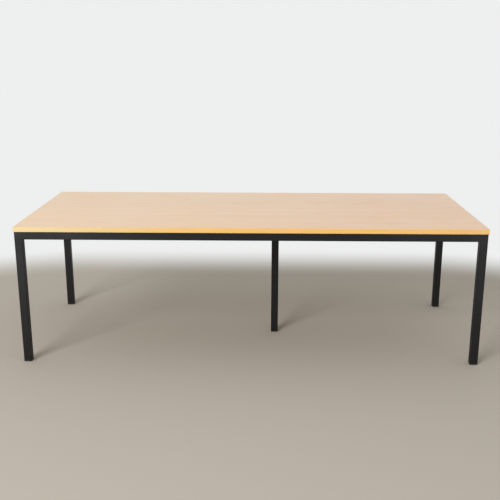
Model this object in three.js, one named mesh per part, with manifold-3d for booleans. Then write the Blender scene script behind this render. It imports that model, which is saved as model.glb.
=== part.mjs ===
// Conference table: a veneered timber top screwed to a welded frame of square steel tube,
// with four corner legs and a fifth leg under a cross rail.
// Millimetres. +Z is up, +X runs along the table, and -Y is the front.
// The origin lies on the floor under the middle of the top.

import * as THREE from "three";
import { mergeVertices } from "three/addons/utils/BufferGeometryUtils.js";
import Module from "manifold-3d";

const wasm = await Module();
wasm.setup();

// Overall sizes
const tableLength = 2400;
const tableWidth = 1000;
const tableHeight = 730;

// Board of the top
const topThickness = 25;
const faceVeneer = 0.5;
const backingVeneer = 0.5;
const edgeStrip = 2;
const edgeRadius = 1;
const glueLine = 0.1;

// Welded frame: legs and rails of one square tube
const topOverhang = 3;
const tubeSize = 40;
const tubeWall = 1.6;
const tubeRadius = 3;
const weldGap = 0.2;
const middleLegOffset = 135;

// Push-in foot caps
const footFlange = 4;
const footEase = 0.8;
const footPlugHeight = 22;
const footPlugWall = 2;
const footPlugClearance = 1.4;
const footRibCount = 3;
const footRibThickness = 1.2;
const footRibClearance = 0.3;

// Fixing tabs welded inside the rails
const tabLength = 40;
const tabReach = 32;
const tabThickness = 3;
const tabCorner = 5;
const tabEndDistance = 180;
const tabHoleDistance = 19;

// Wood screws driven up through the tabs
const screwShank = 4.2;
const screwBite = 16;
const screwPoint = 5;
const screwHead = 9;
const screwHeadHeight = 3;
const screwClearance = 0.3;
const pilotRoom = 1.5;

// Clearance between the frame and the board that rests on it
const seatGap = 0.2;

// Smoothness of round corners and round pieces, and the limits of small radii
const cornerSegments = 2;
const roundSegments = 12;
const smallestRadius = 0.2;
const largestEaseShare = 0.8;

// Heights and places that follow from the sizes above
const boardUnderside = tableHeight - topThickness;
const coreLength = tableLength - 2 * (edgeStrip + glueLine);
const coreWidth = tableWidth - 2 * (edgeStrip + glueLine);
const coreBottom = boardUnderside + backingVeneer + glueLine;
const coreTop = tableHeight - faceVeneer - glueLine;
const frameTop = boardUnderside - seatGap;
const railHeight = frameTop - tubeSize / 2;
const cornerX = tableLength / 2 - topOverhang - tubeSize / 2;
const cornerY = tableWidth / 2 - topOverhang - tubeSize / 2;
const innerX = cornerX - tubeSize / 2;
const innerY = cornerY - tubeSize / 2;
const middleLegTop = frameTop - tubeSize - weldGap;
const tubeBore = tubeSize - 2 * tubeWall;
const screwLength = tabThickness + seatGap + screwBite;

// Finishes
const faceFinish = { color: 0xd2b188, roughness: 0.35, metalness: 0 };
const edgeFinish = { color: 0xdcb06a, roughness: 0.4, metalness: 0 };
const backingFinish = { color: 0xc4a377, roughness: 0.6, metalness: 0 };
const coreFinish = { color: 0xa98a62, roughness: 0.9, metalness: 0 };
const frameFinish = { color: 0x2b2b2d, roughness: 0.5, metalness: 0 };
const footFinish = { color: 0x19191a, roughness: 0.6, metalness: 0 };
const screwFinish = { color: 0xb9b9b4, roughness: 0.35, metalness: 1 };

// A closed geometry as a solid that can be joined and cut
function solidFrom(geometry) {
  const bare = geometry.clone();
  bare.deleteAttribute("normal");
  bare.deleteAttribute("uv");
  const merged = mergeVertices(bare);
  return new wasm.Manifold(
    new wasm.Mesh({
      numProp: 3,
      vertProperties: new Float32Array(merged.attributes.position.array),
      triVerts: new Uint32Array(merged.index.array),
    }),
  );
}

// A solid as a flat-shaded geometry
function geometryFrom(solid) {
  const mesh = solid.getMesh();
  const indexed = new THREE.BufferGeometry();
  indexed.setAttribute("position", new THREE.BufferAttribute(mesh.vertProperties, 3));
  indexed.setIndex(new THREE.BufferAttribute(mesh.triVerts, 1));
  const geometry = indexed.toNonIndexed();
  geometry.computeVertexNormals();
  return geometry;
}

// A named piece in its own finish, at its place in a group
function addPiece(group, name, geometry, finish, place = [0, 0, 0]) {
  const piece = new THREE.Mesh(geometry, new THREE.MeshStandardMaterial(finish));
  piece.name = name;
  piece.position.set(...place);
  group.add(piece);
}

// A rectangle with round corners, drawn about its middle on a shape or a hole
function drawRoundedRectangle(path, width, height, radius) {
  const x = width / 2 - radius;
  const y = height / 2 - radius;
  path.absarc(x, y, radius, 0, Math.PI / 2);
  path.absarc(-x, y, radius, Math.PI / 2, Math.PI);
  path.absarc(-x, -y, radius, Math.PI, 1.5 * Math.PI);
  path.absarc(x, -y, radius, 1.5 * Math.PI, 2 * Math.PI);
  return path;
}

function roundedRectangle(width, height, radius) {
  return drawRoundedRectangle(new THREE.Shape(), width, height, radius);
}

// A rounded rectangle with a smaller one cut out of its middle
function roundedFrame(width, height, radius, wall) {
  const outline = roundedRectangle(width, height, radius);
  const boreRadius = Math.max(radius - wall, smallestRadius);
  const bore = drawRoundedRectangle(new THREE.Path(), width - 2 * wall, height - 2 * wall, boreRadius);
  outline.holes.push(bore);
  return outline;
}

function extrude(shape, depth, curveSegments = cornerSegments) {
  return new THREE.ExtrudeGeometry(shape, { depth, bevelEnabled: false, curveSegments });
}

// The top: core board, face and backing veneers, and a strip glued round each side
function buildTop(screwPlaces) {
  const top = new THREE.Group();
  const pilotRadius = screwShank / 2 + screwClearance;
  const pilotDepth = screwBite + pilotRoom;

  function drilledSheet(bottom, thickness) {
    const sheet = new THREE.BoxGeometry(coreLength, coreWidth, thickness);
    let solid = solidFrom(sheet.translate(0, 0, bottom + thickness / 2));
    const pilot = new THREE.CylinderGeometry(pilotRadius, pilotRadius, 2 * pilotDepth, roundSegments);
    pilot.rotateX(Math.PI / 2);
    for (const { x, y } of screwPlaces) {
      solid = solid.subtract(solidFrom(pilot.clone().translate(x, y, boardUnderside)));
    }
    return geometryFrom(solid);
  }

  addPiece(top, "top_core", drilledSheet(coreBottom, coreTop - coreBottom), coreFinish);
  addPiece(top, "top_backing", drilledSheet(boardUnderside, backingVeneer), backingFinish);
  const face = new THREE.BoxGeometry(coreLength, coreWidth, faceVeneer);
  addPiece(top, "top_face", face, faceFinish, [0, 0, tableHeight - faceVeneer / 2]);

  // Section of a strip: its outer side, at +X, has eased corners
  function stripGeometry(length) {
    const section = new THREE.Shape();
    const radius = Math.min(edgeRadius, largestEaseShare * edgeStrip);
    const half = topThickness / 2 - radius;
    section.moveTo(0, -topThickness / 2);
    section.absarc(edgeStrip - radius, -half, radius, 1.5 * Math.PI, 2 * Math.PI);
    section.absarc(edgeStrip - radius, half, radius, 0, Math.PI / 2);
    section.lineTo(0, topThickness / 2);
    const strip = extrude(section, length);
    strip.translate(0, 0, -length / 2);
    strip.rotateX(Math.PI / 2);
    return strip;
  }

  const stripHeight = tableHeight - topThickness / 2;
  const sideX = tableLength / 2 - edgeStrip;
  const sideY = tableWidth / 2 - edgeStrip;
  const strips = [
    ["edge_strip_right", tableWidth - 2 * (edgeStrip + glueLine), 0, [sideX, 0]],
    ["edge_strip_back", tableLength, Math.PI / 2, [0, sideY]],
    ["edge_strip_left", tableWidth - 2 * (edgeStrip + glueLine), Math.PI, [-sideX, 0]],
    ["edge_strip_front", tableLength, -Math.PI / 2, [0, -sideY]],
  ];
  for (const [name, length, turn, [x, y]] of strips) {
    const strip = stripGeometry(length).rotateZ(turn);
    addPiece(top, name, strip, edgeFinish, [x, y, stripHeight]);
  }
  return top;
}

// The frame: legs and rails of square tube, butted and welded
function buildFrame() {
  const frame = new THREE.Group();

  const tubeSection = roundedFrame(tubeSize, tubeSize, tubeRadius, tubeWall);
  for (const { name, x, y, top } of legPlaces) {
    const leg = extrude(tubeSection, top - footFlange);
    addPiece(frame, `leg_${name}`, leg, frameFinish, [x, y, footFlange]);
  }

  const longRail = 2 * (innerX - weldGap);
  const shortRail = 2 * (innerY - weldGap);
  const rails = [
    ["rail_front", longRail, 0, [0, -cornerY]],
    ["rail_back", longRail, 0, [0, cornerY]],
    ["rail_left", shortRail, Math.PI / 2, [-cornerX, 0]],
    ["rail_right", shortRail, Math.PI / 2, [cornerX, 0]],
    ["rail_cross", shortRail, Math.PI / 2, [middleLegOffset, 0]],
  ];
  for (const [name, length, turn, [x, y]] of rails) {
    const rail = extrude(tubeSection, length);
    rail.translate(0, 0, -length / 2);
    rail.rotateY(Math.PI / 2);
    rail.rotateZ(turn);
    addPiece(frame, name, rail, frameFinish, [x, y, railHeight]);
  }
  return frame;
}

// The feet: a cap with a flange as wide as the leg, and a ribbed plug up inside the tube
function buildFeet() {
  const feet = new THREE.Group();
  const plugWidth = tubeBore - 2 * footPlugClearance;
  const ribWidth = tubeBore - 2 * footRibClearance;
  const plugRadius = Math.max(tubeRadius - tubeWall, smallestRadius);
  const plugHollow = plugWidth - 2 * footPlugWall;
  const root = footFlange / 2;

  const flange = new THREE.ExtrudeGeometry(roundedRectangle(tubeSize, tubeSize, tubeRadius), {
    depth: footFlange - 2 * footEase,
    bevelEnabled: true,
    bevelThickness: footEase,
    bevelSize: footEase,
    bevelOffset: -footEase,
    bevelSegments: 1,
    curveSegments: cornerSegments,
  });
  flange.translate(0, 0, footEase);

  const plugSection = roundedFrame(plugWidth, plugWidth, plugRadius, footPlugWall);
  const plug = extrude(plugSection, footFlange - root + footPlugHeight).translate(0, 0, root);
  const ribWall = (ribWidth - plugHollow) / 2;
  const rib = extrude(roundedFrame(ribWidth, ribWidth, plugRadius, ribWall), footRibThickness);
  const ribPitch = footPlugHeight / (footRibCount + 1);

  let cap = solidFrom(flange).add(solidFrom(plug));
  for (let count = 1; count <= footRibCount; count += 1) {
    const ribHeight = footFlange + count * ribPitch - footRibThickness / 2;
    cap = cap.add(solidFrom(rib.clone().translate(0, 0, ribHeight)));
  }
  const capGeometry = geometryFrom(cap);

  for (const leg of legPlaces) {
    addPiece(feet, `foot_${leg.name}`, capGeometry.clone(), footFinish, [leg.x, leg.y, 0]);
  }
  return feet;
}

// The fixings: a tab welded inside a rail, and a wood screw up through each tab
function buildFixings() {
  const fixings = new THREE.Group();

  // A tab reaches out along +X from the rail, flush with the rail's top
  const tabSection = new THREE.Shape();
  const halfTab = tabLength / 2;
  const roundX = tabReach - tabCorner;
  const roundY = halfTab - tabCorner;
  tabSection.moveTo(weldGap, -halfTab);
  tabSection.absarc(roundX, -roundY, tabCorner, 1.5 * Math.PI, 2 * Math.PI);
  tabSection.absarc(roundX, roundY, tabCorner, 0, Math.PI / 2);
  tabSection.lineTo(weldGap, halfTab);
  const hole = new THREE.Path();
  hole.absarc(tabHoleDistance, 0, screwShank / 2 + screwClearance, 0, 2 * Math.PI);
  tabSection.holes.push(hole);
  const tab = extrude(tabSection, tabThickness, roundSegments / 2);

  // A screw stands with its head's seat at zero and its point up
  const headRadius = screwHead / 2;
  const shankRadius = screwShank / 2;
  const profile = new THREE.Path();
  profile.moveTo(0, -screwHeadHeight);
  profile.absellipse(0, 0, headRadius, screwHeadHeight, 1.5 * Math.PI, 2 * Math.PI);
  profile.lineTo(shankRadius, 0);
  profile.lineTo(shankRadius, screwLength - screwPoint);
  profile.lineTo(0, screwLength);
  const screw = new THREE.LatheGeometry(profile.getPoints(cornerSegments), roundSegments);
  screw.rotateX(Math.PI / 2);

  const tabBottom = frameTop - tabThickness;
  for (const place of tabPlaces) {
    const turned = tab.clone().rotateZ(place.turn);
    addPiece(fixings, `tab_${place.name}`, turned, frameFinish, [place.x, place.y, tabBottom]);
    const { x, y } = screwPlaceOf(place);
    addPiece(fixings, `screw_${place.name}`, screw.clone(), screwFinish, [x, y, tabBottom]);
  }
  return fixings;
}

// Where the legs stand and how high they reach
const legPlaces = [
  { name: "front_left", x: -cornerX, y: -cornerY, top: frameTop },
  { name: "front_right", x: cornerX, y: -cornerY, top: frameTop },
  { name: "back_left", x: -cornerX, y: cornerY, top: frameTop },
  { name: "back_right", x: cornerX, y: cornerY, top: frameTop },
  { name: "middle", x: middleLegOffset, y: 0, top: middleLegTop },
];

// Where the tabs are welded, and the way each turns from its rail:
// two in each bay of the long rails, one on each end rail, and two on the cross rail
const crossRailLeft = middleLegOffset - tubeSize / 2;
const crossRailRight = middleLegOffset + tubeSize / 2;
const longRailTabs = [
  -innerX + tabEndDistance,
  crossRailLeft - tabEndDistance,
  crossRailRight + tabEndDistance,
  innerX - tabEndDistance,
];
const tabPlaces = [
  { name: "left", x: -innerX, y: 0, turn: 0 },
  { name: "right", x: innerX, y: 0, turn: Math.PI },
  { name: "cross_front", x: crossRailLeft, y: -innerY + tabEndDistance, turn: Math.PI },
  { name: "cross_back", x: crossRailLeft, y: innerY - tabEndDistance, turn: Math.PI },
];
longRailTabs.forEach((x, index) => {
  tabPlaces.push({ name: `front_${index + 1}`, x, y: -innerY, turn: Math.PI / 2 });
  tabPlaces.push({ name: `back_${index + 1}`, x, y: innerY, turn: -Math.PI / 2 });
});

// The axis of the screw through a tab
function screwPlaceOf(place) {
  return {
    x: place.x + tabHoleDistance * Math.cos(place.turn),
    y: place.y + tabHoleDistance * Math.sin(place.turn),
  };
}

const table = new THREE.Group();
table.add(buildTop(tabPlaces.map(screwPlaceOf)));
table.add(buildFrame());
table.add(buildFeet());
table.add(buildFixings());

export default table;
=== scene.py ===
import math

import bmesh
import bpy
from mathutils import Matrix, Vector


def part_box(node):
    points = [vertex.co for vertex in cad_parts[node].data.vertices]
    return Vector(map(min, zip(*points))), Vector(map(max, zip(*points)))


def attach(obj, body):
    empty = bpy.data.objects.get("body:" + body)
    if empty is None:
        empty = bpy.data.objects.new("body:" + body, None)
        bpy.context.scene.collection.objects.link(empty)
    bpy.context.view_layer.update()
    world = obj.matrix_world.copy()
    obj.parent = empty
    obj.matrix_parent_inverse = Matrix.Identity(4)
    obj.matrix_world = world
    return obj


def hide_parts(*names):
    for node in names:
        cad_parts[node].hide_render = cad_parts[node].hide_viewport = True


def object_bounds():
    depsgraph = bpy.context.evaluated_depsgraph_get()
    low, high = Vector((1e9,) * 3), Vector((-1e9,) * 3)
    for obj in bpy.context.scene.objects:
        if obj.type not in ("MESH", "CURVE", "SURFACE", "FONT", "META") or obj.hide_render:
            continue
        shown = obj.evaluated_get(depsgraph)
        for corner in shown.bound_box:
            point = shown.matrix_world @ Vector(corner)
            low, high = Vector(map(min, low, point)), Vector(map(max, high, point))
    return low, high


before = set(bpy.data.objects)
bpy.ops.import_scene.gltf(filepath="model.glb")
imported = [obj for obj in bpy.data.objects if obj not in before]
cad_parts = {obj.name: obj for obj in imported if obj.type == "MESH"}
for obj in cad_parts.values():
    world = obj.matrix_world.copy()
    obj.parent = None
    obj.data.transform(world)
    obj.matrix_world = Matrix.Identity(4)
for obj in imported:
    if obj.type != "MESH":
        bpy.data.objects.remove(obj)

cad_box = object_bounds()

# The legs: five lengths of square steel tube with rolled corners, cut square at both ends.
# Four stand at the corners of the frame, and the fifth stands at mid depth under the cross rail.
# They are welded to the rails and powder coated a satin black together with them.
mm = 0.001
tube_radius = 3.0 * mm
tube_wall = 1.6 * mm
corner_segments = 6
smooth_angle = math.radians(35)

# Least shares of a unit direction along an axis: for an edge or a face that lies that way, and for a
# flat side beside a rolled corner
mostly = 0.9
flat_side = 0.995

# Where nearly all plain noise lies
noise_range = (0.3, 0.7)


def add_block(name, low, high):
    """A block between two corners, selected alone, with its place in its mesh."""
    bpy.ops.object.select_all(action="DESELECT")
    bpy.ops.mesh.primitive_cube_add(size=1, location=(low + high) / 2)
    block = bpy.context.object
    block.scale = high - low
    bpy.ops.object.transform_apply()
    block.name = name
    block.data.name = name
    return block


def select_edges(piece, wanted):
    """Edit mode, with those edges selected whose middle and direction are wanted."""
    bpy.ops.object.mode_set(mode="EDIT")
    bpy.ops.mesh.select_mode(type="EDGE")
    bpy.ops.mesh.select_all(action="DESELECT")
    cage = bmesh.from_edit_mesh(piece.data)
    for edge in cage.edges:
        start, end = (corner.co for corner in edge.verts)
        edge.select_set(wanted((start + end) / 2, (end - start).normalized()))
    bmesh.update_edit_mesh(piece.data)


def select_faces(piece, wanted):
    """Edit mode, with those faces selected whose middle and normal are wanted."""
    bpy.ops.object.mode_set(mode="EDIT")
    bpy.ops.mesh.select_mode(type="FACE")
    bpy.ops.mesh.select_all(action="DESELECT")
    cage = bmesh.from_edit_mesh(piece.data)
    for face in cage.faces:
        face.select_set(wanted(face.calc_center_median(), face.normal))
    bmesh.update_edit_mesh(piece.data)


def apply_modifier(piece, kind, **settings):
    """A modifier with these settings, applied to the piece."""
    bpy.ops.object.mode_set(mode="OBJECT")
    modifier = piece.modifiers.new(kind.lower(), kind)
    for name, value in settings.items():
        setattr(modifier, name, value)
    bpy.ops.object.modifier_apply(modifier=modifier.name)


def smooth(piece):
    """Smooth round corners beside faces that stay flat."""
    bpy.ops.object.mode_set(mode="OBJECT")
    bpy.ops.object.shade_smooth_by_angle(angle=smooth_angle)
    apply_modifier(piece, "WEIGHTED_NORMAL", keep_sharp=True)


def make_tube(node, along):
    """An open square tube in the place of a node, with its length along that axis."""
    tube = add_block(node + "_tube", *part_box(node))
    select_edges(tube, lambda middle, way: abs(way[along]) > mostly)
    bpy.ops.mesh.bevel(offset=tube_radius, segments=corner_segments, affect="EDGES")
    select_faces(tube, lambda middle, normal: abs(normal[along]) > mostly)
    bpy.ops.mesh.delete(type="FACE")
    apply_modifier(tube, "SOLIDIFY", thickness=tube_wall, offset=-1)
    smooth(tube)
    return tube


def mark_rolled_corners(tube):
    """An attribute that is 1 on the rolled corners of a tube and 0 on its flat sides."""
    corner = tube.data.attributes.new("rolled_corner", "FLOAT", "FACE")
    for face in tube.data.polygons:
        straightest = max(abs(part) for part in face.normal)
        corner.data[face.index].value = float(straightest < flat_side)


def add_node(tree, kind, feeds=None, **settings):
    """A shader node with its settings, each socket in feeds given a value or joined to an output."""
    node = tree.nodes.new("ShaderNode" + kind)
    for name, value in settings.items():
        setattr(node, name, value)
    for socket, feed in (feeds or {}).items():
        if isinstance(feed, bpy.types.NodeSocket):
            tree.links.new(feed, node.inputs[socket])
        else:
            node.inputs[socket].default_value = feed
    return node


def calculate(tree, operation, *values):
    """The result of a calculation on values and outputs."""
    return add_node(tree, "Math", dict(enumerate(values)), operation=operation).outputs[0]


def spread(tree, value, low, high, to_low=0.0, to_high=1.0):
    """A value moved smoothly from one range to another, and kept inside it."""
    feeds = {0: value, 1: low, 2: high, 3: to_low, 4: to_high}
    return add_node(tree, "MapRange", feeds, interpolation_type="SMOOTHSTEP").outputs[0]


def mix_colour(tree, share, first, second):
    """The first colour with a share of the second."""
    feeds = {0: share, 6: first, 7: second}
    return add_node(tree, "Mix", feeds, data_type="RGBA").outputs[2]


def stretch(tree, vector, scale):
    """Coordinates multiplied along each axis."""
    return add_node(tree, "Mapping", {"Vector": vector, "Scale": scale}).outputs[0]


def noise(tree, vector, scale, detail=2.0):
    """Plain noise between 0 and 1."""
    feeds = {"Vector": vector, "Scale": scale, "Detail": detail}
    return add_node(tree, "TexNoise", feeds).outputs[0]


def patchy(tree, vector, scale, low=0.0, high=1.0, detail=4.0):
    """A value that wanders between two limits in soft patches."""
    return spread(tree, noise(tree, vector, scale, detail), *noise_range, low, high)


def new_group(name, inputs, outputs):
    """An empty shader node group: its tree, its input values and its output sockets."""
    tree = bpy.data.node_groups.new(name, "ShaderNodeTree")
    for label, kind in inputs.items():
        tree.interface.new_socket(label, in_out="INPUT", socket_type="NodeSocket" + kind)
    for label in outputs:
        tree.interface.new_socket(label, in_out="OUTPUT", socket_type="NodeSocketFloat")
    return tree, tree.nodes.new("NodeGroupInput").outputs, tree.nodes.new("NodeGroupOutput").inputs


def use_group(tree, group, **feeds):
    """A group placed in a material, with its own values: its outputs."""
    return add_node(tree, "Group", feeds, node_tree=group).outputs


def new_finish(name, **plain_values):
    """A material: itself, its tree, its shader, and the coordinates of the object."""
    finish = bpy.data.materials.new(name)
    finish.use_nodes = True
    tree = finish.node_tree
    shader = tree.nodes["Principled BSDF"]
    for socket, value in plain_values.items():
        shader.inputs[socket.replace("_", " ")].default_value = value
    return finish, tree, shader, add_node(tree, "TexCoord").outputs["Object"]


def raise_surface(tree, shader, height, strength, distance):
    """A bump on the shader's normal."""
    feeds = {"Height": height, "Strength": strength, "Distance": distance}
    bump = add_node(tree, "Bump", feeds)
    tree.links.new(bump.outputs[0], shader.inputs["Normal"])


# Fine stipple of a sprayed or moulded surface: small grains on a slow orange-peel swell
swell_scale = 0.2
swell_height = 1.5

stipple, entry, leave = new_group("stipple", {"Vector": "Vector", "Grain": "Float"}, ["Height"])
fine_grain = noise(stipple, entry["Vector"], entry["Grain"])
swell_grain = calculate(stipple, "MULTIPLY", entry["Grain"], swell_scale)
swell = noise(stipple, entry["Vector"], swell_grain)
both = calculate(stipple, "ADD", fine_grain, calculate(stipple, "MULTIPLY", swell, swell_height))
stipple.links.new(both, leave["Height"])

# Scuffs: thin rubbed marks, some level and some upright, that come in patches
level_stretch = (3.0, 3.0, 60.0)
level_threshold = (0.66, 0.74)
upright_stretch = (50.0, 50.0, 4.0)
upright_threshold = (0.68, 0.76)
mark_detail = 4.0
patch_scale = 4.0
patch_threshold = (0.5, 0.62)

scuffs, entry, leave = new_group("scuffs", {"Vector": "Vector", "Size": "Float"}, ["Mask"])
sizing = {"Vector": entry["Vector"], "Scale": entry["Size"]}
sized = add_node(scuffs, "VectorMath", sizing, operation="SCALE").outputs[0]
level_noise = noise(scuffs, stretch(scuffs, sized, level_stretch), 1.0, mark_detail)
level_marks = spread(scuffs, level_noise, *level_threshold)
upright_noise = noise(scuffs, stretch(scuffs, sized, upright_stretch), 1.0, mark_detail)
upright_marks = spread(scuffs, upright_noise, *upright_threshold)
marks = calculate(scuffs, "MAXIMUM", level_marks, upright_marks)
patches = spread(scuffs, noise(scuffs, sized, patch_scale), *patch_threshold)
scuffs.links.new(calculate(scuffs, "MULTIPLY", marks, patches), leave["Mask"])

# The powder coat: kicked near the floor, rubbed on the rolled corners, and smoother where rubbed
coat_black = (0.0078, 0.0072, 0.0077, 1)
coat_rubbed = (0.045, 0.044, 0.042, 1)
coat_specular = 0.18
coat_roughness = (0.46, 0.56)
coat_patch_scale = 7.0
coat_grain = 1600.0
coat_grain_strength = 0.25
coat_grain_height = 0.2 * mm
kick_height = 0.22
kick_size = 9.0
kick_share = 0.6
kicks_higher_up = 0.06
rub_scale = 55.0
rub_detail = 5.0
rub_threshold = (0.56, 0.72)
rub_share = 0.35
rub_polish = 0.1

black_coat, tree, shader, place = new_finish("black_powder_coat", Specular_IOR_Level=coat_specular)
height_above_floor = add_node(tree, "SeparateXYZ", {0: place}).outputs["Z"]
near_floor = spread(tree, height_above_floor, 0.0, kick_height, 1.0, kicks_higher_up)
kick_marks = use_group(tree, scuffs, Vector=place, Size=kick_size)["Mask"]
kicks = calculate(tree, "MULTIPLY", kick_marks, near_floor)
on_corner = add_node(tree, "Attribute", attribute_name="rolled_corner").outputs["Fac"]
rubbing = spread(tree, noise(tree, place, rub_scale, rub_detail), *rub_threshold)
corner_wear = calculate(tree, "MULTIPLY", on_corner, calculate(tree, "MULTIPLY", rubbing, rub_share))
wear = calculate(tree, "MAXIMUM", calculate(tree, "MULTIPLY", kicks, kick_share), corner_wear)
tree.links.new(mix_colour(tree, wear, coat_black, coat_rubbed), shader.inputs["Base Color"])
satin = patchy(tree, place, coat_patch_scale, *coat_roughness)
polished = calculate(tree, "MULTIPLY", wear, rub_polish)
tree.links.new(calculate(tree, "SUBTRACT", satin, polished), shader.inputs["Roughness"])
coat_stipple = use_group(tree, stipple, Vector=place, Grain=coat_grain)["Height"]
raise_surface(tree, shader, coat_stipple, coat_grain_strength, coat_grain_height)


def seat_piece(piece, finish, slot, *nodes):
    """A finished piece: its material, its body and the nodes that it stands for; the slot is not used.
    """
    piece.data.materials.clear()
    piece.data.materials.append(finish)
    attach(piece, "root")
    if nodes:
        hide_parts(*nodes)


def middle_of(node):
    """The middle of a node's box."""
    low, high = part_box(node)
    return (low + high) / 2


def copy_piece(piece, name, shift=(0, 0, 0), turn=(0, 0, 0)):
    """A copy with a mesh of its own, turned about the origin and moved, both in its mesh."""
    twin = piece.copy()
    twin.data = piece.data.copy()
    twin.name = name
    twin.data.name = name
    bpy.context.collection.objects.link(twin)
    bpy.ops.object.select_all(action="DESELECT")
    twin.select_set(True)
    bpy.context.view_layer.objects.active = twin
    twin.rotation_euler = turn
    twin.location = shift
    bpy.ops.object.transform_apply()
    return twin


corner_leg = make_tube("leg_front_left", along=2)
mark_rolled_corners(corner_leg)
for leg_node in ("leg_front_right", "leg_back_left", "leg_back_right"):
    shift = middle_of(leg_node) - middle_of("leg_front_left")
    leg = copy_piece(corner_leg, leg_node + "_tube", shift)
    seat_piece(leg, black_coat, "black_frame", leg_node)
seat_piece(corner_leg, black_coat, "black_frame", "leg_front_left")
middle_leg = make_tube("leg_middle", along=2)
mark_rolled_corners(middle_leg)
seat_piece(middle_leg, black_coat, "black_frame", "leg_middle")

# The rails: the same square tube laid flat under the top, flush with the legs on the outside.
# Two long rails and two end rails make the ring, and a cross rail ties the long ones together
# over the middle leg. Each is cut square and butted between the faces it is welded to.
rail_sets = (("rail_front", 0, ["rail_back"]), ("rail_left", 1, ["rail_right", "rail_cross"]))
for first_node, along, like_nodes in rail_sets:
    first_rail = make_tube(first_node, along)
    mark_rolled_corners(first_rail)
    for rail_node in like_nodes:
        shift = middle_of(rail_node) - middle_of(first_node)
        rail = copy_piece(first_rail, rail_node + "_tube", shift)
        seat_piece(rail, black_coat, "black_frame", rail_node)
    seat_piece(first_rail, black_coat, "black_frame", first_node)

# The welds: short rippled beads of steel in the inner corners and under the rails, and on the
# outer faces a fill that is ground nearly flush. All of it is coated with the frame.
# Each joint's welds are one piece, copied from a bead and a fill that are modelled once.
bead_radius = 3.0 * mm
bead_length = 35.0 * mm
bead_sides = 12
bead_ripples = 15
ripple_swell = 1.16
fill_size = 3.6 * mm
fill_length = 34.5 * mm
fill_ease = 0.3 * mm
fill_below = 0.08 * mm
fill_inset = 1.2 * mm
turns = {"x": (0, math.pi / 2, 0), "y": (math.pi / 2, 0, 0), "z": (0, 0, 0)}


def make_bead(radius, length):
    """A rippled bead along Z about the origin, with round ends."""
    bpy.ops.object.select_all(action="DESELECT")
    bpy.ops.mesh.primitive_cylinder_add(vertices=bead_sides, radius=radius, depth=length)
    bead = bpy.context.object
    select_edges(bead, lambda middle, way: abs(way.z) > mostly)
    bpy.ops.mesh.subdivide(number_cuts=2 * bead_ripples - 1)
    pitch = length / (2 * bead_ripples)
    rings = range(1, 2 * bead_ripples, 2)
    crests = [ring * pitch - length / 2 for ring in rings]
    select_edges(bead, lambda middle, way: any(abs(middle.z - crest) < pitch / 4 for crest in crests))
    bpy.ops.transform.resize(value=(ripple_swell, ripple_swell, 1), center_override=(0, 0, 0))
    select_faces(bead, lambda middle, normal: abs(normal.z) > mostly)
    bpy.ops.mesh.inset(thickness=radius / 2, depth=radius / 3)
    bpy.ops.object.mode_set(mode="OBJECT")
    bpy.ops.object.shade_smooth()
    return bead


def make_fill():
    """A straight fill along Z about the origin, with its edges eased."""
    half = Vector((fill_size, fill_size, fill_length)) / 2
    fill = add_block("weld_fill", -half, half)
    select_edges(fill, lambda middle, way: True)
    bpy.ops.mesh.bevel(offset=fill_ease, segments=2, affect="EDGES")
    smooth(fill)
    return fill


def weld(name, *runs):
    """One joint's welds, each given by its pattern, the axis that it runs along and its middle."""
    welds = [copy_piece(pattern, name, middle, turns[axis]) for pattern, axis, middle in runs]
    bpy.ops.object.select_all(action="DESELECT")
    for run in welds:
        run.select_set(True)
    bpy.context.view_layer.objects.active = welds[0]
    if len(welds) > 1:
        bpy.ops.object.join()
    seat_piece(welds[0], black_coat, "black_frame")


def remove(piece):
    """Deletes a piece that was only a pattern or a tool."""
    bpy.ops.object.select_all(action="DESELECT")
    piece.select_set(True)
    bpy.ops.object.delete()


bead = make_bead(bead_radius, bead_length)
fill = make_fill()
rail_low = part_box("rail_front")[0].z
rail_middle = middle_of("rail_front").z
fill_depth = fill_size / 2 + fill_below
for side_y in ("front", "back"):
    for side_x in ("left", "right"):
        leg_node = f"leg_{side_y}_{side_x}"
        corner = middle_of(leg_node)
        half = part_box(leg_node)[1].x - corner.x
        way_x = math.copysign(1, corner.x)
        way_y = math.copysign(1, corner.y)
        inner_x = corner.x - way_x * half
        inner_y = corner.y - way_y * half
        fill_x = corner.x + way_x * (half - fill_depth)
        fill_y = corner.y + way_y * (half - fill_depth)
        weld(f"weld_{side_y}_{side_x}",
             (bead, "y", (inner_x, corner.y, rail_low)),
             (bead, "x", (corner.x, inner_y, rail_low)),
             (bead, "z", (inner_x, inner_y, rail_middle)),
             (fill, "z", (inner_x + way_x * fill_inset, fill_y, rail_middle)),
             (fill, "z", (fill_x, inner_y + way_y * fill_inset, rail_middle)))

cross_low, cross_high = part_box("rail_cross")
cross_x = (cross_low.x + cross_high.x) / 2
for side_y, end_y in (("front", cross_low.y), ("back", cross_high.y)):
    weld(f"weld_cross_{side_y}",
         (bead, "x", (cross_x, end_y, cross_low.z)),
         (bead, "z", (cross_low.x, end_y, rail_middle)),
         (bead, "z", (cross_high.x, end_y, rail_middle)))

leg_low, leg_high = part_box("leg_middle")
leg_y = (leg_low.y + leg_high.y) / 2
fill_z = cross_low.z + fill_inset
weld("weld_middle_leg",
     (bead, "x", (cross_x, leg_low.y, leg_high.z)),
     (bead, "x", (cross_x, leg_high.y, leg_high.z)),
     (fill, "y", (leg_low.x + fill_depth, leg_y, fill_z)),
     (fill, "y", (leg_high.x - fill_depth, leg_y, fill_z)))
remove(bead)
remove(fill)

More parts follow.
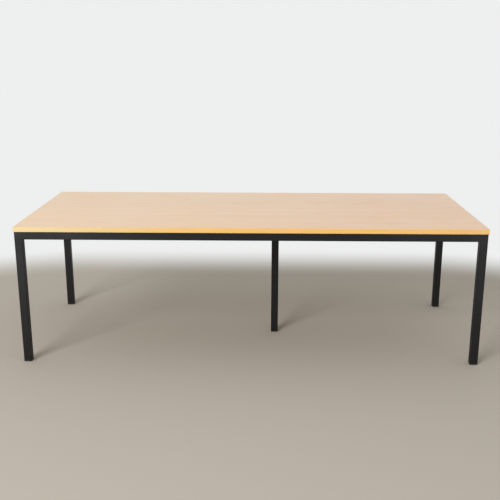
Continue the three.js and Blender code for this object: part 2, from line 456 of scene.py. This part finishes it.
# The fixing tabs: flat steel bar cut to length, with its free corners rounded off and one hole.
# Each is welded to the inside of a rail, flush with the rail's top, and coated with the frame.
tab_corner = 5.0 * mm
tab_ease = 0.4 * mm
tab_hole = 4.8 * mm
tab_hole_sides = 32
tab_bead_radius = 1.8 * mm
tab_bead_length = 32.0 * mm
reaches = {"front": (0, 1), "back": (0, -1), "left": (1, 0), "right": (-1, 0), "cross": (-1, 0)}
fixing_names = [node[len("tab_"):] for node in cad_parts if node.startswith("tab_")]


def make_tab(size, hole_reach):
    """A tab that reaches along Y from the origin, with its underside at Z = 0."""
    tab = add_block("tab", Vector((-size.x / 2, 0, 0)), Vector((size.x / 2, size.y, size.z)))
    select_edges(tab, lambda middle, way: abs(way.z) > mostly and middle.y > size.y / 2)
    bpy.ops.mesh.bevel(offset=tab_corner, segments=corner_segments, affect="EDGES")
    bpy.ops.object.mode_set(mode="OBJECT")
    bpy.ops.object.select_all(action="DESELECT")
    bpy.ops.mesh.primitive_cylinder_add(vertices=tab_hole_sides, radius=tab_hole / 2, depth=4 * size.z,
                                        location=(0, hole_reach, 0))
    drill = bpy.context.object
    bpy.context.view_layer.objects.active = tab
    apply_modifier(tab, "BOOLEAN", object=drill, operation="DIFFERENCE", solver="EXACT")
    remove(drill)
    tab.select_set(True)
    bpy.context.view_layer.objects.active = tab
    apply_modifier(tab, "BEVEL", width=tab_ease, segments=2,
                   limit_method="ANGLE", angle_limit=smooth_angle)
    smooth(tab)
    return tab


tab_low, tab_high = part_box("tab_front_1")
pattern_tab = make_tab(tab_high - tab_low, middle_of("screw_front_1").y - tab_low.y)
tab_bead = make_bead(tab_bead_radius, tab_bead_length)
for fixing in fixing_names:
    tab_node = "tab_" + fixing
    low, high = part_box(tab_node)
    reach = Vector((*reaches[fixing.split("_")[0]], 0))
    root = middle_of(tab_node) - reach * (high - low) / 2
    root.z = low.z
    tab = copy_piece(pattern_tab, tab_node + "_plate", root, (0, 0, math.atan2(-reach.x, reach.y)))
    seat_piece(tab, black_coat, "black_frame", tab_node)
    weld("weld_tab_" + fixing, (tab_bead, "x" if reach.y else "y", root))
remove(pattern_tab)
remove(tab_bead)

# The foot caps: moulded black plastic, pushed up into the open ends of the legs. A flange as wide
# as the tube carries the leg, and ribs round a hollow plug grip the bore.
# The rims of the flange are eased, and the underside has a shallow dish.
foot_flange = 4.0 * mm
foot_ease = 0.8 * mm
plug_clearance = 1.4 * mm
plug_height = 22.0 * mm
plug_wall = 2.0 * mm
rib_count = 3
rib_thickness = 1.2 * mm
rib_reach = 1.1 * mm
dish_share = 0.64
dish_taper = 0.96
dish_depth = 0.4 * mm

# How level a face lies that counts as level, and how near a point is that counts as touching
level_face = 0.99
touch = 0.1 * mm

plastic_black = (0.017, 0.017, 0.018, 1)
plastic_scuffed = (0.075, 0.073, 0.070, 1)
plastic_roughness = (0.48, 0.62)
plastic_patch_scale = 60.0
plastic_grain = 2600.0
plastic_grain_strength = 0.2
plastic_grain_height = 0.15 * mm
rim_mark_size = 22.0
rim_mark_share = 0.7

black_plastic, tree, shader, place = new_finish("moulded_black_plastic")
rim_marks = use_group(tree, scuffs, Vector=place, Size=rim_mark_size)["Mask"]
worn_rim = calculate(tree, "MULTIPLY", rim_marks, rim_mark_share)
tree.links.new(mix_colour(tree, worn_rim, plastic_black, plastic_scuffed), shader.inputs["Base Color"])
matt = patchy(tree, place, plastic_patch_scale, *plastic_roughness, detail=3.0)
tree.links.new(matt, shader.inputs["Roughness"])
plastic_stipple = use_group(tree, stipple, Vector=place, Grain=plastic_grain)["Height"]
raise_surface(tree, shader, plastic_stipple, plastic_grain_strength, plastic_grain_height)


def lift(rise):
    """Extrudes the selected faces straight up."""
    bpy.ops.mesh.extrude_region_move(TRANSFORM_OT_translate={"value": (0, 0, rise)})


def widen(share, centre):
    """Extrudes the selected faces in their own plane, to a share of their width."""
    bpy.ops.mesh.extrude_region_move(TRANSFORM_OT_translate={"value": (0, 0, 0)})
    bpy.ops.transform.resize(value=(share, share, 1), center_override=centre)


def make_foot(node):
    """A cap in the place of a node, built up from its flange."""
    low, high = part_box(node)
    centre = (low + high) / 2
    cap = add_block(node + "_cap", low, Vector((high.x, high.y, low.z + foot_flange)))
    select_edges(cap, lambda middle, way: abs(way.z) > mostly)
    bpy.ops.mesh.bevel(offset=tube_radius, segments=corner_segments, affect="EDGES")
    select_edges(cap, lambda middle, way: abs(way.z) < 1 - mostly)
    bpy.ops.mesh.bevel(offset=foot_ease, segments=3, affect="EDGES")
    select_faces(cap, lambda middle, normal: normal.z > level_face)
    flange_half = high.x - centre.x
    plug_half = flange_half - tube_wall - plug_clearance
    widen(plug_half / (flange_half - foot_ease), centre)
    rib_share = (plug_half + rib_reach) / plug_half
    rib_gap = plug_height / (rib_count + 1) - rib_thickness
    lift(rib_gap + rib_thickness / 2)
    for rib in range(rib_count):
        widen(rib_share, centre)
        lift(rib_thickness)
        widen(1 / rib_share, centre)
        lift(rib_gap if rib < rib_count - 1 else rib_gap + rib_thickness / 2)
    widen((plug_half - plug_wall) / plug_half, centre)
    lift(-plug_height + plug_wall)
    select_faces(cap, lambda middle, normal: normal.z < -level_face and middle.z < low.z + touch)
    widen(dish_share, centre)
    lift(dish_depth)
    bpy.ops.transform.resize(value=(dish_taper, dish_taper, 1), center_override=centre)
    bpy.ops.mesh.select_all(action="SELECT")
    bpy.ops.mesh.normals_make_consistent(inside=False)
    smooth(cap)
    return cap


first_foot = make_foot("foot_front_left")
for place_name in ("front_right", "back_left", "back_right", "middle"):
    foot_node = "foot_" + place_name
    shift = middle_of(foot_node) - middle_of("foot_front_left")
    foot = copy_piece(first_foot, foot_node + "_cap", shift)
    seat_piece(foot, black_plastic, "foot_plastic", foot_node)
seat_piece(first_foot, black_plastic, "foot_plastic", "foot_front_left")

# The board: a core of pressed wood chips between a face veneer and a plain backing veneer, glued
# under pressure. The face is sanded and sprayed with a satin clear lacquer.
# The grain of both veneers runs along the table, in leaves laid side by side.
leaf_width = 0.25


def hypotenuse(tree, first, second):
    """The straight distance from its parts along two axes."""
    squares = [calculate(tree, "POWER", reach, 2.0) for reach in (first, second)]
    return calculate(tree, "SQRT", calculate(tree, "ADD", *squares))


# Timber grain along X: growth rings cut by the surface, slow streaks, fine fibres and flecks
pith_depth = 0.66
pith_slope = 0.014
leaf_stagger = 2.0
ring_spacing = 3.4 * mm
ring_wander = 12.0 * mm
ring_sharpness = 3.0
ring_fade = (0.88, 1.0)
least_ring = 0.3
wander_stretch = (0.9, 7.0, 7.0)
wander_detail = 3.0
streak_stretch = (0.7, 18.0, 18.0)
fibre_stretch = (7.0, 620.0, 620.0)
fibre_detail = 4.0
ring_weight = 0.30
streak_weight = 0.25
fibre_weight = 0.55
leaf_weight = 0.05
shade_range = (0.24, 0.64)
fleck_stretch = (105.0, 460.0, 460.0)
fleck_rim = (0.10, 0.22)
fleck_patch_scale = 60.0
fleck_patch_threshold = (0.45, 0.6)

grain, entry, leave = new_group("timber_grain", {"Vector": "Vector", "Leaf Width": "Float"},
                                ["Tone", "Fleck", "Fibre"])
parts = add_node(grain, "SeparateXYZ", {0: entry["Vector"]}).outputs
leaf = calculate(grain, "FLOOR", calculate(grain, "DIVIDE", parts["Y"], entry["Leaf Width"]))
leaf_random = add_node(grain, "TexWhiteNoise", {"W": leaf}, noise_dimensions="1D").outputs["Value"]
leaf_middle = calculate(grain, "MULTIPLY", calculate(grain, "ADD", leaf, 0.5), entry["Leaf Width"])
across = calculate(grain, "SUBTRACT", parts["Y"], leaf_middle)
down_leaf = calculate(grain, "MULTIPLY_ADD", leaf_random, leaf_stagger, parts["X"])
pith_level = calculate(grain, "MULTIPLY_ADD", down_leaf, pith_slope, -pith_depth)
from_pith = hypotenuse(grain, across, calculate(grain, "ADD", pith_level, parts["Z"]))
wander = noise(grain, stretch(grain, entry["Vector"], wander_stretch), 1.0, wander_detail)
ring_radius = calculate(grain, "MULTIPLY_ADD", wander, ring_wander, from_pith)
years = calculate(grain, "DIVIDE", ring_radius, ring_spacing)
season = calculate(grain, "FRACT", years)
late_growth = calculate(grain, "POWER", season, ring_sharpness)
late_wood = calculate(grain, "MULTIPLY", late_growth, spread(grain, season, *ring_fade, 1.0, 0.0))
year = calculate(grain, "FLOOR", years)
good_year = add_node(grain, "TexWhiteNoise", {"W": year}, noise_dimensions="1D").outputs["Value"]
ring_strength = calculate(grain, "MULTIPLY_ADD", good_year, 1 - least_ring, least_ring)
rings = calculate(grain, "MULTIPLY", late_wood, ring_strength)
streaks = noise(grain, stretch(grain, entry["Vector"], streak_stretch), 1.0, fibre_detail)
fibres = noise(grain, stretch(grain, entry["Vector"], fibre_stretch), 1.0, fibre_detail)
shade = calculate(grain, "MULTIPLY", streaks, streak_weight)
shade = calculate(grain, "MULTIPLY_ADD", rings, ring_weight, shade)
shade = calculate(grain, "MULTIPLY_ADD", fibres, fibre_weight, shade)
leaf_tone = calculate(grain, "SUBTRACT", leaf_random, 0.5)
shade = calculate(grain, "MULTIPLY_ADD", leaf_tone, leaf_weight, shade)
grain.links.new(spread(grain, shade, *shade_range), leave["Tone"])
fleck_places = stretch(grain, entry["Vector"], fleck_stretch)
fleck_cells = add_node(grain, "TexVoronoi", {"Vector": fleck_places, "Scale": 1.0})
fleck_patches = spread(grain, noise(grain, entry["Vector"], fleck_patch_scale), *fleck_patch_threshold)
flecks = spread(grain, fleck_cells.outputs["Distance"], *fleck_rim, 1.0, 0.0)
grain.links.new(calculate(grain, "MULTIPLY", flecks, fleck_patches), leave["Fleck"])
grain.links.new(fibres, leave["Fibre"])

# The lacquer over it: a little duller in patches and where it is scuffed, with the fibres felt through
lacquer_patch_scale = 5.0
lacquer_scuff_size = 3.0
lacquer_scuff_dulling = 0.06
fibre_strength = 0.05
fibre_height = 0.1 * mm


def paint_light_from_left(tree, place, colour, share, lit_colour, brightest_x, unlit_x):
    """A colour with painted light from the left: a share of a paler one, fading out along the table.
    """
    along_table = add_node(tree, "SeparateXYZ", {0: place}).outputs["X"]
    return mix_colour(tree, spread(tree, along_table, brightest_x, unlit_x, share, 0.0), colour, lit_colour)


def timber_finish(name, pale, deep, fleck_colour, painted_light=None, turn=0.0, leaf=leaf_width,
                  gloss=(0.14, 0.24), lustre=0.5, fleck_share=0.5):
    """Lacquered timber whose grain runs along X, or along the direction that it is turned to."""
    finish, tree, shader, place = new_finish(name, Specular_IOR_Level=lustre)
    turned = add_node(tree, "Mapping", {"Vector": place, "Rotation": (0, 0, -turn)}).outputs[0]
    timber = use_group(tree, grain, **{"Vector": turned, "Leaf Width": leaf})
    plain = mix_colour(tree, timber["Tone"], pale, deep)
    flecks_here = calculate(tree, "MULTIPLY", timber["Fleck"], fleck_share)
    colour = mix_colour(tree, flecks_here, plain, fleck_colour)
    # Painted light: where given, a paler colour is laid over the left end of the table
    if painted_light:
        colour = paint_light_from_left(tree, place, colour, *painted_light)
    tree.links.new(colour, shader.inputs["Base Color"])
    lacquer = patchy(tree, place, lacquer_patch_scale, *gloss)
    lacquer_scuffs = use_group(tree, scuffs, Vector=place, Size=lacquer_scuff_size)["Mask"]
    dulled = calculate(tree, "MULTIPLY", lacquer_scuffs, lacquer_scuff_dulling)
    tree.links.new(calculate(tree, "ADD", lacquer, dulled), shader.inputs["Roughness"])
    raise_surface(tree, shader, timber["Fibre"], fibre_strength, fibre_height)
    return finish


face_pale = (0.777, 0.491, 0.281, 1)
face_deep = (0.658, 0.383, 0.193, 1)
face_fleck = (0.44, 0.26, 0.14, 1)
# Painted light from the left: the face turns paler towards its left end, as if lit more strongly there
face_lit_colour = (0.82, 0.74, 0.45, 1)
face_painted_light = (0.15, face_lit_colour, -0.9, 1.1)
face_lacquer = timber_finish("lacquered_face_veneer", face_pale, face_deep, face_fleck, face_painted_light)

backing_pale = (0.58, 0.41, 0.26, 1)
backing_deep = (0.45, 0.30, 0.18, 1)
backing_fleck = (0.28, 0.17, 0.09, 1)
backing_gloss = (0.55, 0.70)
backing_sealer = timber_finish("sealed_backing_veneer", backing_pale, backing_deep, backing_fleck,
                               gloss=backing_gloss)

chip_pale = (0.46, 0.31, 0.17, 1)
chip_deep = (0.30, 0.19, 0.10, 1)
chip_stretch = (1.0, 1.0, 3.0)
chips_per_metre = 420.0
chip_strength = 0.3
chip_height = 0.3 * mm
chip_board, tree, shader, place = new_finish("pressed_chip_core", Roughness=0.9)
chip_places = stretch(tree, place, chip_stretch)
chips = add_node(tree, "TexVoronoi", {"Vector": chip_places, "Scale": chips_per_metre})
chip_tone = add_node(tree, "SeparateColor", {0: chips.outputs["Color"]}).outputs[0]
tree.links.new(mix_colour(tree, chip_tone, chip_pale, chip_deep), shader.inputs["Base Color"])
raise_surface(tree, shader, chip_tone, chip_strength, chip_height)

sheets = {"top_core": chip_board, "top_face": face_lacquer, "top_backing": backing_sealer}
for sheet_node, finish in sheets.items():
    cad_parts[sheet_node].material_slots[0].material = finish

# The edge strips: solid honey-coloured timber glued to the four sides of the board, trimmed flush
# with both veneers, with every outer corner eased by hand and the same lacquer over it.
# The front and back strips run the whole length, and the end strips fit between them.
strip_ease = 1.0 * mm
edge_pale = (0.832, 0.512, 0.180, 1)
edge_deep = (0.729, 0.424, 0.127, 1)
edge_fleck = (0.50, 0.26, 0.08, 1)
# Painted light from the left: the long strips turn paler towards the left end, and the left end strip
# a little
edge_lit_colour = (0.54, 0.63, 0.46, 1)
long_painted_light = (0.34, edge_lit_colour, -1.1, -0.1)
end_painted_light = (0.1, edge_lit_colour, -1.1, -0.1)
edge_lacquer = {"gloss": (0.32, 0.44), "lustre": 0.16, "fleck_share": 0.25}
table_half = cad_box[1]

# Leaves so wide that the middle of one lies on each strip
long_leaf = 1.0
end_leaf = 0.8
long_strip = timber_finish("lacquered_edge_long", edge_pale, edge_deep, edge_fleck, long_painted_light,
                           leaf=long_leaf, **edge_lacquer)
end_strip = timber_finish("lacquered_edge_end", edge_pale, edge_deep, edge_fleck, end_painted_light,
                          turn=math.pi / 2, leaf=end_leaf, **edge_lacquer)


def on_outside(point):
    """How many of the table's four vertical sides a point lies on."""
    on_end = abs(abs(point.x) - table_half.x) < touch
    on_side = abs(abs(point.y) - table_half.y) < touch
    return on_end + on_side


for side, far_side, finish in (("front", "back", long_strip), ("left", "right", end_strip)):
    strip = add_block(f"edge_strip_{side}_timber", *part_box("edge_strip_" + side))
    select_edges(strip, lambda middle, way: on_outside(middle) > (abs(way.z) > mostly))
    bpy.ops.mesh.bevel(offset=strip_ease, segments=4, affect="EDGES")
    smooth(strip)
    far_strip = copy_piece(strip, f"edge_strip_{far_side}_timber", turn=(0, 0, math.pi))
    seat_piece(strip, finish, "edge_timber", "edge_strip_" + side)
    seat_piece(far_strip, finish, "edge_timber", "edge_strip_" + far_side)

# The wood screws: zinc-plated steel with a domed head and a cross recess, driven up through the
# tabs into the board from below. Only the heads show, and the thread is hidden in the core, so it
# is a stack of ridges and not a spiral.
head_radius = 4.5 * mm
head_height = 3.0 * mm
head_rim = 0.4 * mm
head_sides = 24
head_steps = 6
crown_share = 0.4
shank_radius = 2.1 * mm
root_radius = 1.5 * mm
thread_pitch = 2.0 * mm
point_length = 5.0 * mm
point_share = 0.1
recess_reach = 2.4 * mm
recess_width = 0.55 * mm
recess_depth = 1.9 * mm
recess_taper = 0.45
driver_turn = math.radians(37)

zinc_bright = (0.62, 0.61, 0.57, 1)
zinc_dull = (0.50, 0.50, 0.48, 1)
zinc_roughness = (0.28, 0.42)
zinc_cloud_scale = 300.0
zinc, tree, shader, place = new_finish("zinc_plated_steel", Metallic=1.0)
cloud = patchy(tree, place, zinc_cloud_scale)
tree.links.new(mix_colour(tree, cloud, zinc_bright, zinc_dull), shader.inputs["Base Color"])
tree.links.new(spread(tree, cloud, 0.0, 1.0, *zinc_roughness), shader.inputs["Roughness"])


def scale_flat(share):
    """Draws the selected faces in or out about the Z axis, each at its own height."""
    bpy.ops.transform.resize(value=(share, share, 1), center_override=(0, 0, 0))


def make_screw(length):
    """A screw with its head's seat at the origin and its point up."""
    bpy.ops.object.select_all(action="DESELECT")
    bpy.ops.mesh.primitive_cylinder_add(vertices=head_sides, radius=head_radius, depth=head_rim,
                                        location=(0, 0, -head_rim / 2))
    bpy.ops.object.transform_apply()
    screw = bpy.context.object
    select_faces(screw, lambda middle, normal: normal.z < -mostly)
    dome = head_height - head_rim
    angles = [math.pi / 2 * step / head_steps for step in range(head_steps)]
    for now, after in zip(angles, angles[1:]):
        lift(-dome * (math.sin(after) - math.sin(now)))
        scale_flat(math.cos(after) / math.cos(now))
    lift(-dome * (1 - math.sin(angles[-1])))
    scale_flat(crown_share)
    select_faces(screw, lambda middle, normal: normal.z > mostly)
    widen(root_radius / head_radius, (0, 0, 0))
    for ridge in range(int((length - point_length) / thread_pitch)):
        lift(thread_pitch / 2)
        scale_flat(shank_radius / root_radius)
        lift(thread_pitch / 2)
        scale_flat(root_radius / shank_radius)
    lift(point_length)
    scale_flat(point_share)
    for reach_x, reach_y in ((recess_reach, recess_width), (recess_width, recess_reach)):
        low = Vector((-reach_x, -reach_y, -head_height - recess_depth))
        high = Vector((reach_x, reach_y, -head_height + recess_depth))
        bpy.ops.object.mode_set(mode="OBJECT")
        driver = add_block("driver", low, high)
        select_faces(driver, lambda middle, normal: normal.z > mostly)
        scale_flat(recess_taper)
        bpy.ops.object.mode_set(mode="OBJECT")
        bpy.context.view_layer.objects.active = screw
        apply_modifier(screw, "BOOLEAN", object=driver, operation="DIFFERENCE", solver="EXACT")
        remove(driver)
    screw.select_set(True)
    bpy.context.view_layer.objects.active = screw
    smooth(screw)
    return screw


screw_low, screw_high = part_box("screw_left")
pattern_screw = make_screw(screw_high.z - screw_low.z - head_height)
for count, fixing in enumerate(fixing_names):
    screw_node = "screw_" + fixing
    seat = middle_of(screw_node)
    seat.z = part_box(screw_node)[0].z + head_height
    screw = copy_piece(pattern_screw, screw_node + "_zinc", seat, (0, 0, count * driver_turn))
    seat_piece(screw, zinc, "screw_steel", screw_node)
remove(pattern_screw)

# The stage: a plain pale floor that fades to white well away from the table, and a white sky.
# The floor keeps the table's soft shadow. Where it has faded, and in the sky, what the camera and
# the reflections see is plain white, without adding light to the table.
floor_size = 80.0
floor_grey = (0.43, 0.39, 0.335, 1)
backdrop_white = (0.855, 0.865, 0.86, 1)
fade_start = 1.15
fade_end = 1.95
fade_forward = 0.5
sky_light = 0.86


def seen_directly(tree):
    """1 where the camera, a reflection or a view through something looks straight at this."""
    path = add_node(tree, "LightPath").outputs
    glossy = calculate(tree, "MAXIMUM", path["Is Glossy Ray"], path["Is Transmission Ray"])
    return calculate(tree, "MAXIMUM", path["Is Camera Ray"], glossy)


def reach_past(tree, distance, half):
    """How far a distance from the middle, either way, reaches past a half size, and 0 inside it."""
    beyond = calculate(tree, "SUBTRACT", calculate(tree, "ABSOLUTE", distance), half)
    return calculate(tree, "MAXIMUM", beyond, 0.0)


bpy.ops.object.select_all(action="DESELECT")
bpy.ops.mesh.primitive_plane_add(size=floor_size)
floor = bpy.context.object
floor.name = "floor"
floor_finish, tree, shader, place = new_finish("pale_floor", Roughness=0.9, Specular_IOR_Level=0.0)
shader.inputs["Base Color"].default_value = floor_grey
spot = add_node(tree, "SeparateXYZ", {0: place}).outputs
past_end = reach_past(tree, spot["X"], table_half.x)
past_side = reach_past(tree, calculate(tree, "ADD", spot["Y"], fade_forward), table_half.y)
far = hypotenuse(tree, past_end, past_side)
faded = calculate(tree, "MULTIPLY", spread(tree, far, fade_start, fade_end), seen_directly(tree))
white = add_node(tree, "Emission", {"Color": backdrop_white, "Strength": 1.0})
blend = add_node(tree, "MixShader", {0: faded, 1: shader.outputs[0], 2: white.outputs[0]})
from_below = add_node(tree, "NewGeometry").outputs["Backfacing"]
clear = add_node(tree, "BsdfTransparent")
one_sided = add_node(tree, "MixShader", {0: from_below, 1: blend.outputs[0], 2: clear.outputs[0]})
tree.links.new(one_sided.outputs[0], tree.nodes["Material Output"].inputs["Surface"])
floor.data.materials.append(floor_finish)

world = bpy.data.worlds.new("studio")
world.use_nodes = True
bpy.context.scene.world = world
tree = world.node_tree
background = tree.nodes["Background"]
background.inputs["Color"].default_value = backdrop_white
strength = spread(tree, seen_directly(tree), 0.0, 1.0, sky_light, 1.0)
tree.links.new(strength, background.inputs["Strength"])

# The lamps: a large soft key far off to the front left that stays out of the reflections, and two
# small low ones before the table's ends that show only in reflections, as a sheen on the frame.
# The key and the sky together light a level white card to about its own colour.
lamp_target = Vector((0.0, 0.0, 0.55))
key_place = (-4.2, -7.2, 4.6)
key_size = 3.6
key_power = 585.0
sheen_size = 0.25
sheen_lamps = {"sheen_left": ((-2.0, -3.0, 0.58), 46.0), "sheen_right": ((2.1, -3.0, 0.58), 26.0)}


def add_softbox(name, place, size, power):
    """A square lamp turned towards the table."""
    lamp = bpy.data.lights.new(name, "AREA")
    lamp.size = size
    lamp.energy = power
    softbox = bpy.data.objects.new(name, lamp)
    bpy.context.collection.objects.link(softbox)
    softbox.location = place
    softbox.rotation_euler = (lamp_target - softbox.location).to_track_quat("-Z", "Y").to_euler()
    softbox.visible_camera = False
    return softbox


key = add_softbox("key", key_place, key_size, key_power)
key.visible_glossy = False
for sheen_name, (sheen_place, sheen_power) in sheen_lamps.items():
    sheen = add_softbox(sheen_name, sheen_place, sheen_size, sheen_power)
    sheen.visible_diffuse = False

# The camera: it stands as far off and as high as the photograph's, and is turned like it.
# The optical axis meets the picture a little under its middle, which the shift makes up for.
focal_pixels = 783.0
picture_pixels = 500
axis_pixel = 270.0
sensor_mm = 36.0
camera_place = (0.0663, -4.3380, 1.6113)
camera_turn = (74.031, -0.081, 1.010)
camera = bpy.data.objects.new("camera", bpy.data.cameras.new("camera"))
bpy.context.collection.objects.link(camera)
camera.location = camera_place
camera.rotation_euler = [math.radians(angle) for angle in camera_turn]
camera.data.sensor_width = sensor_mm
camera.data.lens = focal_pixels / picture_pixels * sensor_mm
camera.data.shift_y = (axis_pixel - picture_pixels / 2) / picture_pixels
bpy.context.scene.camera = camera
bpy.context.scene.view_settings.view_transform = "Standard"
